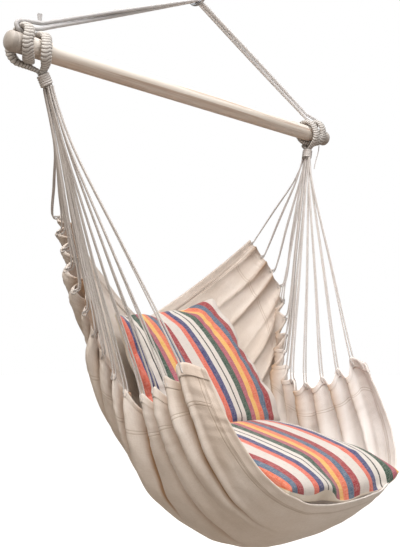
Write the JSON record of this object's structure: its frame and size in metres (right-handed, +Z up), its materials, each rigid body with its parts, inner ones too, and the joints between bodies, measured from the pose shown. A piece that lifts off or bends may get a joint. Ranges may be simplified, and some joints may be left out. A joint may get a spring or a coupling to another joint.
{
  "type": "hammock chair",
  "caption": "Hanging hammock chair: canvas sling gathered on cords under a wooden spreader bar, with striped seat and back cushions, hung by a rope.",
  "frame": {"origin": "top of the eye of the hanging ring, where a hook bears", "axes": "+X along the spreader bar, +Z up, and the sitter faces -Y"},
  "size_m": [1, 0.5894, 1.2387],
  "materials": {
    "ring_steel": "plated steel, satin",
    "rope": "laid rope, matt",
    "bar_wood": "pale wood, satin varnish",
    "cotton_cord": "natural cotton, matt",
    "canvas": "natural cotton canvas, matt",
    "striped_cotton": "woven stripes, matt",
    "fibre_filling": "loose fibre",
    "zip_tape": "woven zip tape"
  },
  "bodies": {
    "ring": {"hanging_ring": "ring_steel"},
    "rope": {"hanging_rope": "rope", "rope_cut_end": "rope"},
    "bar": {"spreader_bar": "bar_wood"},
    "sling": {"left_cord_eye": "cotton_cord", "right_cord_eye": "cotton_cord", "left_neck_whipping": "cotton_cord", "right_neck_whipping": "cotton_cord", "right_tail_thread": "cotton_cord", "left_cord_01": "cotton_cord", "left_cord_02": "cotton_cord", "left_cord_03": "cotton_cord", "left_cord_04": "cotton_cord", "left_cord_05": "cotton_cord", "left_cord_06": "cotton_cord", "left_cord_07": "cotton_cord", "left_cord_08": "cotton_cord", "left_cord_09": "cotton_cord", "left_cord_10": "cotton_cord", "left_cord_11": "cotton_cord", "left_cord_12": "cotton_cord", "left_cord_13": "cotton_cord", "left_cord_14": "cotton_cord", "right_cord_01": "cotton_cord", "right_cord_02": "cotton_cord", "right_cord_03": "cotton_cord", "right_cord_04": "cotton_cord", "right_cord_05": "cotton_cord", "right_cord_06": "cotton_cord", "right_cord_07": "cotton_cord", "right_cord_08": "cotton_cord", "right_cord_09": "cotton_cord", "right_cord_10": "cotton_cord", "right_cord_11": "cotton_cord", "right_cord_12": "cotton_cord", "right_cord_13": "cotton_cord", "right_cord_14": "cotton_cord", "canvas_sling": "canvas"},
    "back_cushion": {"back_cushion_cover": "striped_cotton", "back_cushion_zip": "zip_tape", "back_cushion_filling": "fibre_filling"},
    "seat_cushion": {"seat_cushion_cover": "striped_cotton", "seat_cushion_zip": "zip_tape", "seat_cushion_filling": "fibre_filling"}
  },
  "joints": [
    {"name": "rope_swing", "type": "hinge", "parent": "ring", "child": "rope", "pos_m": [0, 0, -0.025], "axis": [1, 0, 0], "range_deg": [-25, 25]},
    {"name": "sling_tilt", "type": "hinge", "parent": "rope", "child": "sling", "pos_m": [0, 0, -0.2775], "axis": [1, 0, 0], "range_deg": [-20, 20]},
    {"name": "bar_turn", "type": "hinge", "parent": "sling", "child": "bar", "pos_m": [0, 0, -0.2775], "axis": [1, 0, 0], "continuous": true},
    {"name": "back_cushion_lift", "type": "slide", "parent": "sling", "child": "back_cushion", "axis": [0, 0, 1], "range_m": [0, 0.2]},
    {"name": "seat_cushion_lift", "type": "slide", "parent": "sling", "child": "seat_cushion", "axis": [0, -0.9659, 0.2588], "range_m": [0, 0.25]}
  ]
}
